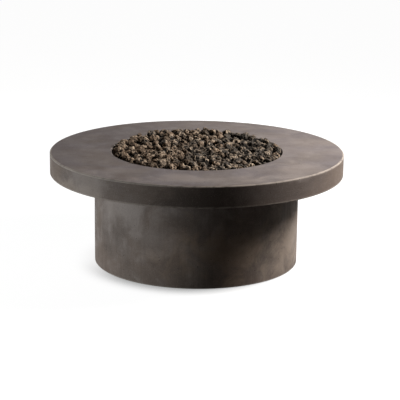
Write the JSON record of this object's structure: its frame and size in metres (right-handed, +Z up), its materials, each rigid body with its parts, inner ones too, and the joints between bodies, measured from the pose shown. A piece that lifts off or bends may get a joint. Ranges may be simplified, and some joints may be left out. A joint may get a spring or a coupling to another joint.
{
  "type": "fire pit table",
  "caption": "Round low gas fire pit table: deep-edged concrete top on a drum base, a bed of lava rock over a star burner, rear controls and a hinged access door.",
  "frame": {"origin": "on the floor under the table's centre", "axes": "+Z up along the table's round axis; -Y is the plain front, +Y the rear with the access door and controls"},
  "size_m": [1.0669, 1.067, 0.4379],
  "materials": {
    "concrete": "trowelled cast concrete, sealed, satin",
    "lava": "porous, dull",
    "stainless": "brushed",
    "zinc_steel": "zinc plated, dull",
    "black_iron": "cast, dull",
    "brass": "machined",
    "lever_paint": "dipped vinyl, satin",
    "black_plastic": "moulded, matt",
    "ceramic": "white, matt",
    "hose": "steel braid over a rubber tube",
    "rubber": "matt"
  },
  "bodies": {
    "base": {"table_top": "concrete", "base_drum": "concrete", "lava_rocks": "lava", "burner_pan": "stainless", "burner": "stainless", "control_plate": "stainless", "door_frame": "stainless", "hinge_leaf_frame": "stainless", "hinge_pin": "stainless", "frame_screws": "stainless", "control_screws": "stainless", "foot_inserts": "zinc_steel", "burner_pipe": "zinc_steel", "pan_nuts": "zinc_steel", "panel_nuts": "zinc_steel", "gas_riser": "zinc_steel", "elbow": "black_iron", "inlet_elbow": "black_iron", "air_mixer": "black_iron", "gas_jet": "brass", "gas_valve": "brass", "gas_inlet": "brass", "shutoff_valve": "brass", "hose_nuts": "brass", "igniter_body": "black_plastic", "electrode": "ceramic", "gas_hose": "hose", "bearing_pads": "rubber", "igniter_lead": "rubber"},
    "door": {"access_door": "stainless", "hinge_leaf_door": "stainless"},
    "latch": {"door_latch": "stainless", "latch_cam": "stainless"},
    "valve_collar": {"stem_collar": "stainless"},
    "knob": {"valve_stem": "stainless", "control_knob": "black_plastic"},
    "igniter": {"igniter_button": "black_plastic"},
    "shutoff": {"shutoff_lever": "lever_paint"},
    "shutter": {"air_shutter": "black_iron"},
    "foot_1": {"levelling_foot_1": "zinc_steel"},
    "foot_2": {"levelling_foot_2": "zinc_steel"},
    "foot_3": {"levelling_foot_3": "zinc_steel"},
    "foot_4": {"levelling_foot_4": "zinc_steel"}
  },
  "joints": [
    {"name": "door_swing", "type": "hinge", "parent": "base", "child": "door", "pos_m": [-0.11029, 0.36301, 0.16], "axis": [0, 0, 1], "range_deg": [0, 100]},
    {"name": "door_latch_turn", "type": "hinge", "parent": "door", "child": "latch", "pos_m": [0.08323, 0.36052, 0.16], "axis": [-0.225, -0.9744, 0], "range_deg": [0, 90]},
    {"name": "knob_push", "type": "slide", "parent": "base", "child": "valve_collar", "axis": [-0.6691, -0.7431, 0], "range_m": [0, 0.003], "stiffness_N_per_m": 1500},
    {"name": "knob_turn", "type": "hinge", "parent": "valve_collar", "child": "knob", "pos_m": [0.25761, 0.28611, 0.215], "axis": [0.6691, 0.7431, 0], "range_deg": [0, 180]},
    {"name": "igniter_push", "type": "slide", "parent": "base", "child": "igniter", "axis": [-0.6691, -0.7431, 0], "range_m": [0, 0.005], "stiffness_N_per_m": 1200},
    {"name": "shutoff_lever_turn", "type": "hinge", "parent": "base", "child": "shutoff", "pos_m": [0.21278, 0.23632, 0.121], "axis": [0.7431, -0.6691, 0], "range_deg": [0, 90]},
    {"name": "air_shutter_turn", "type": "hinge", "parent": "base", "child": "shutter", "pos_m": [0.04684, 0.05202, 0.294], "axis": [-0.6691, -0.7431, 0], "range_deg": [0, 60]},
    {"name": "foot_1_screw", "type": "slide", "parent": "base", "child": "foot_1", "axis": [0, 0, -1], "range_m": [0, 0.012]},
    {"name": "foot_2_screw", "type": "slide", "parent": "base", "child": "foot_2", "axis": [0, 0, -1], "range_m": [0, 0.012]},
    {"name": "foot_3_screw", "type": "slide", "parent": "base", "child": "foot_3", "axis": [0, 0, -1], "range_m": [0, 0.012]},
    {"name": "foot_4_screw", "type": "slide", "parent": "base", "child": "foot_4", "axis": [0, 0, -1], "range_m": [0, 0.012]}
  ]
}
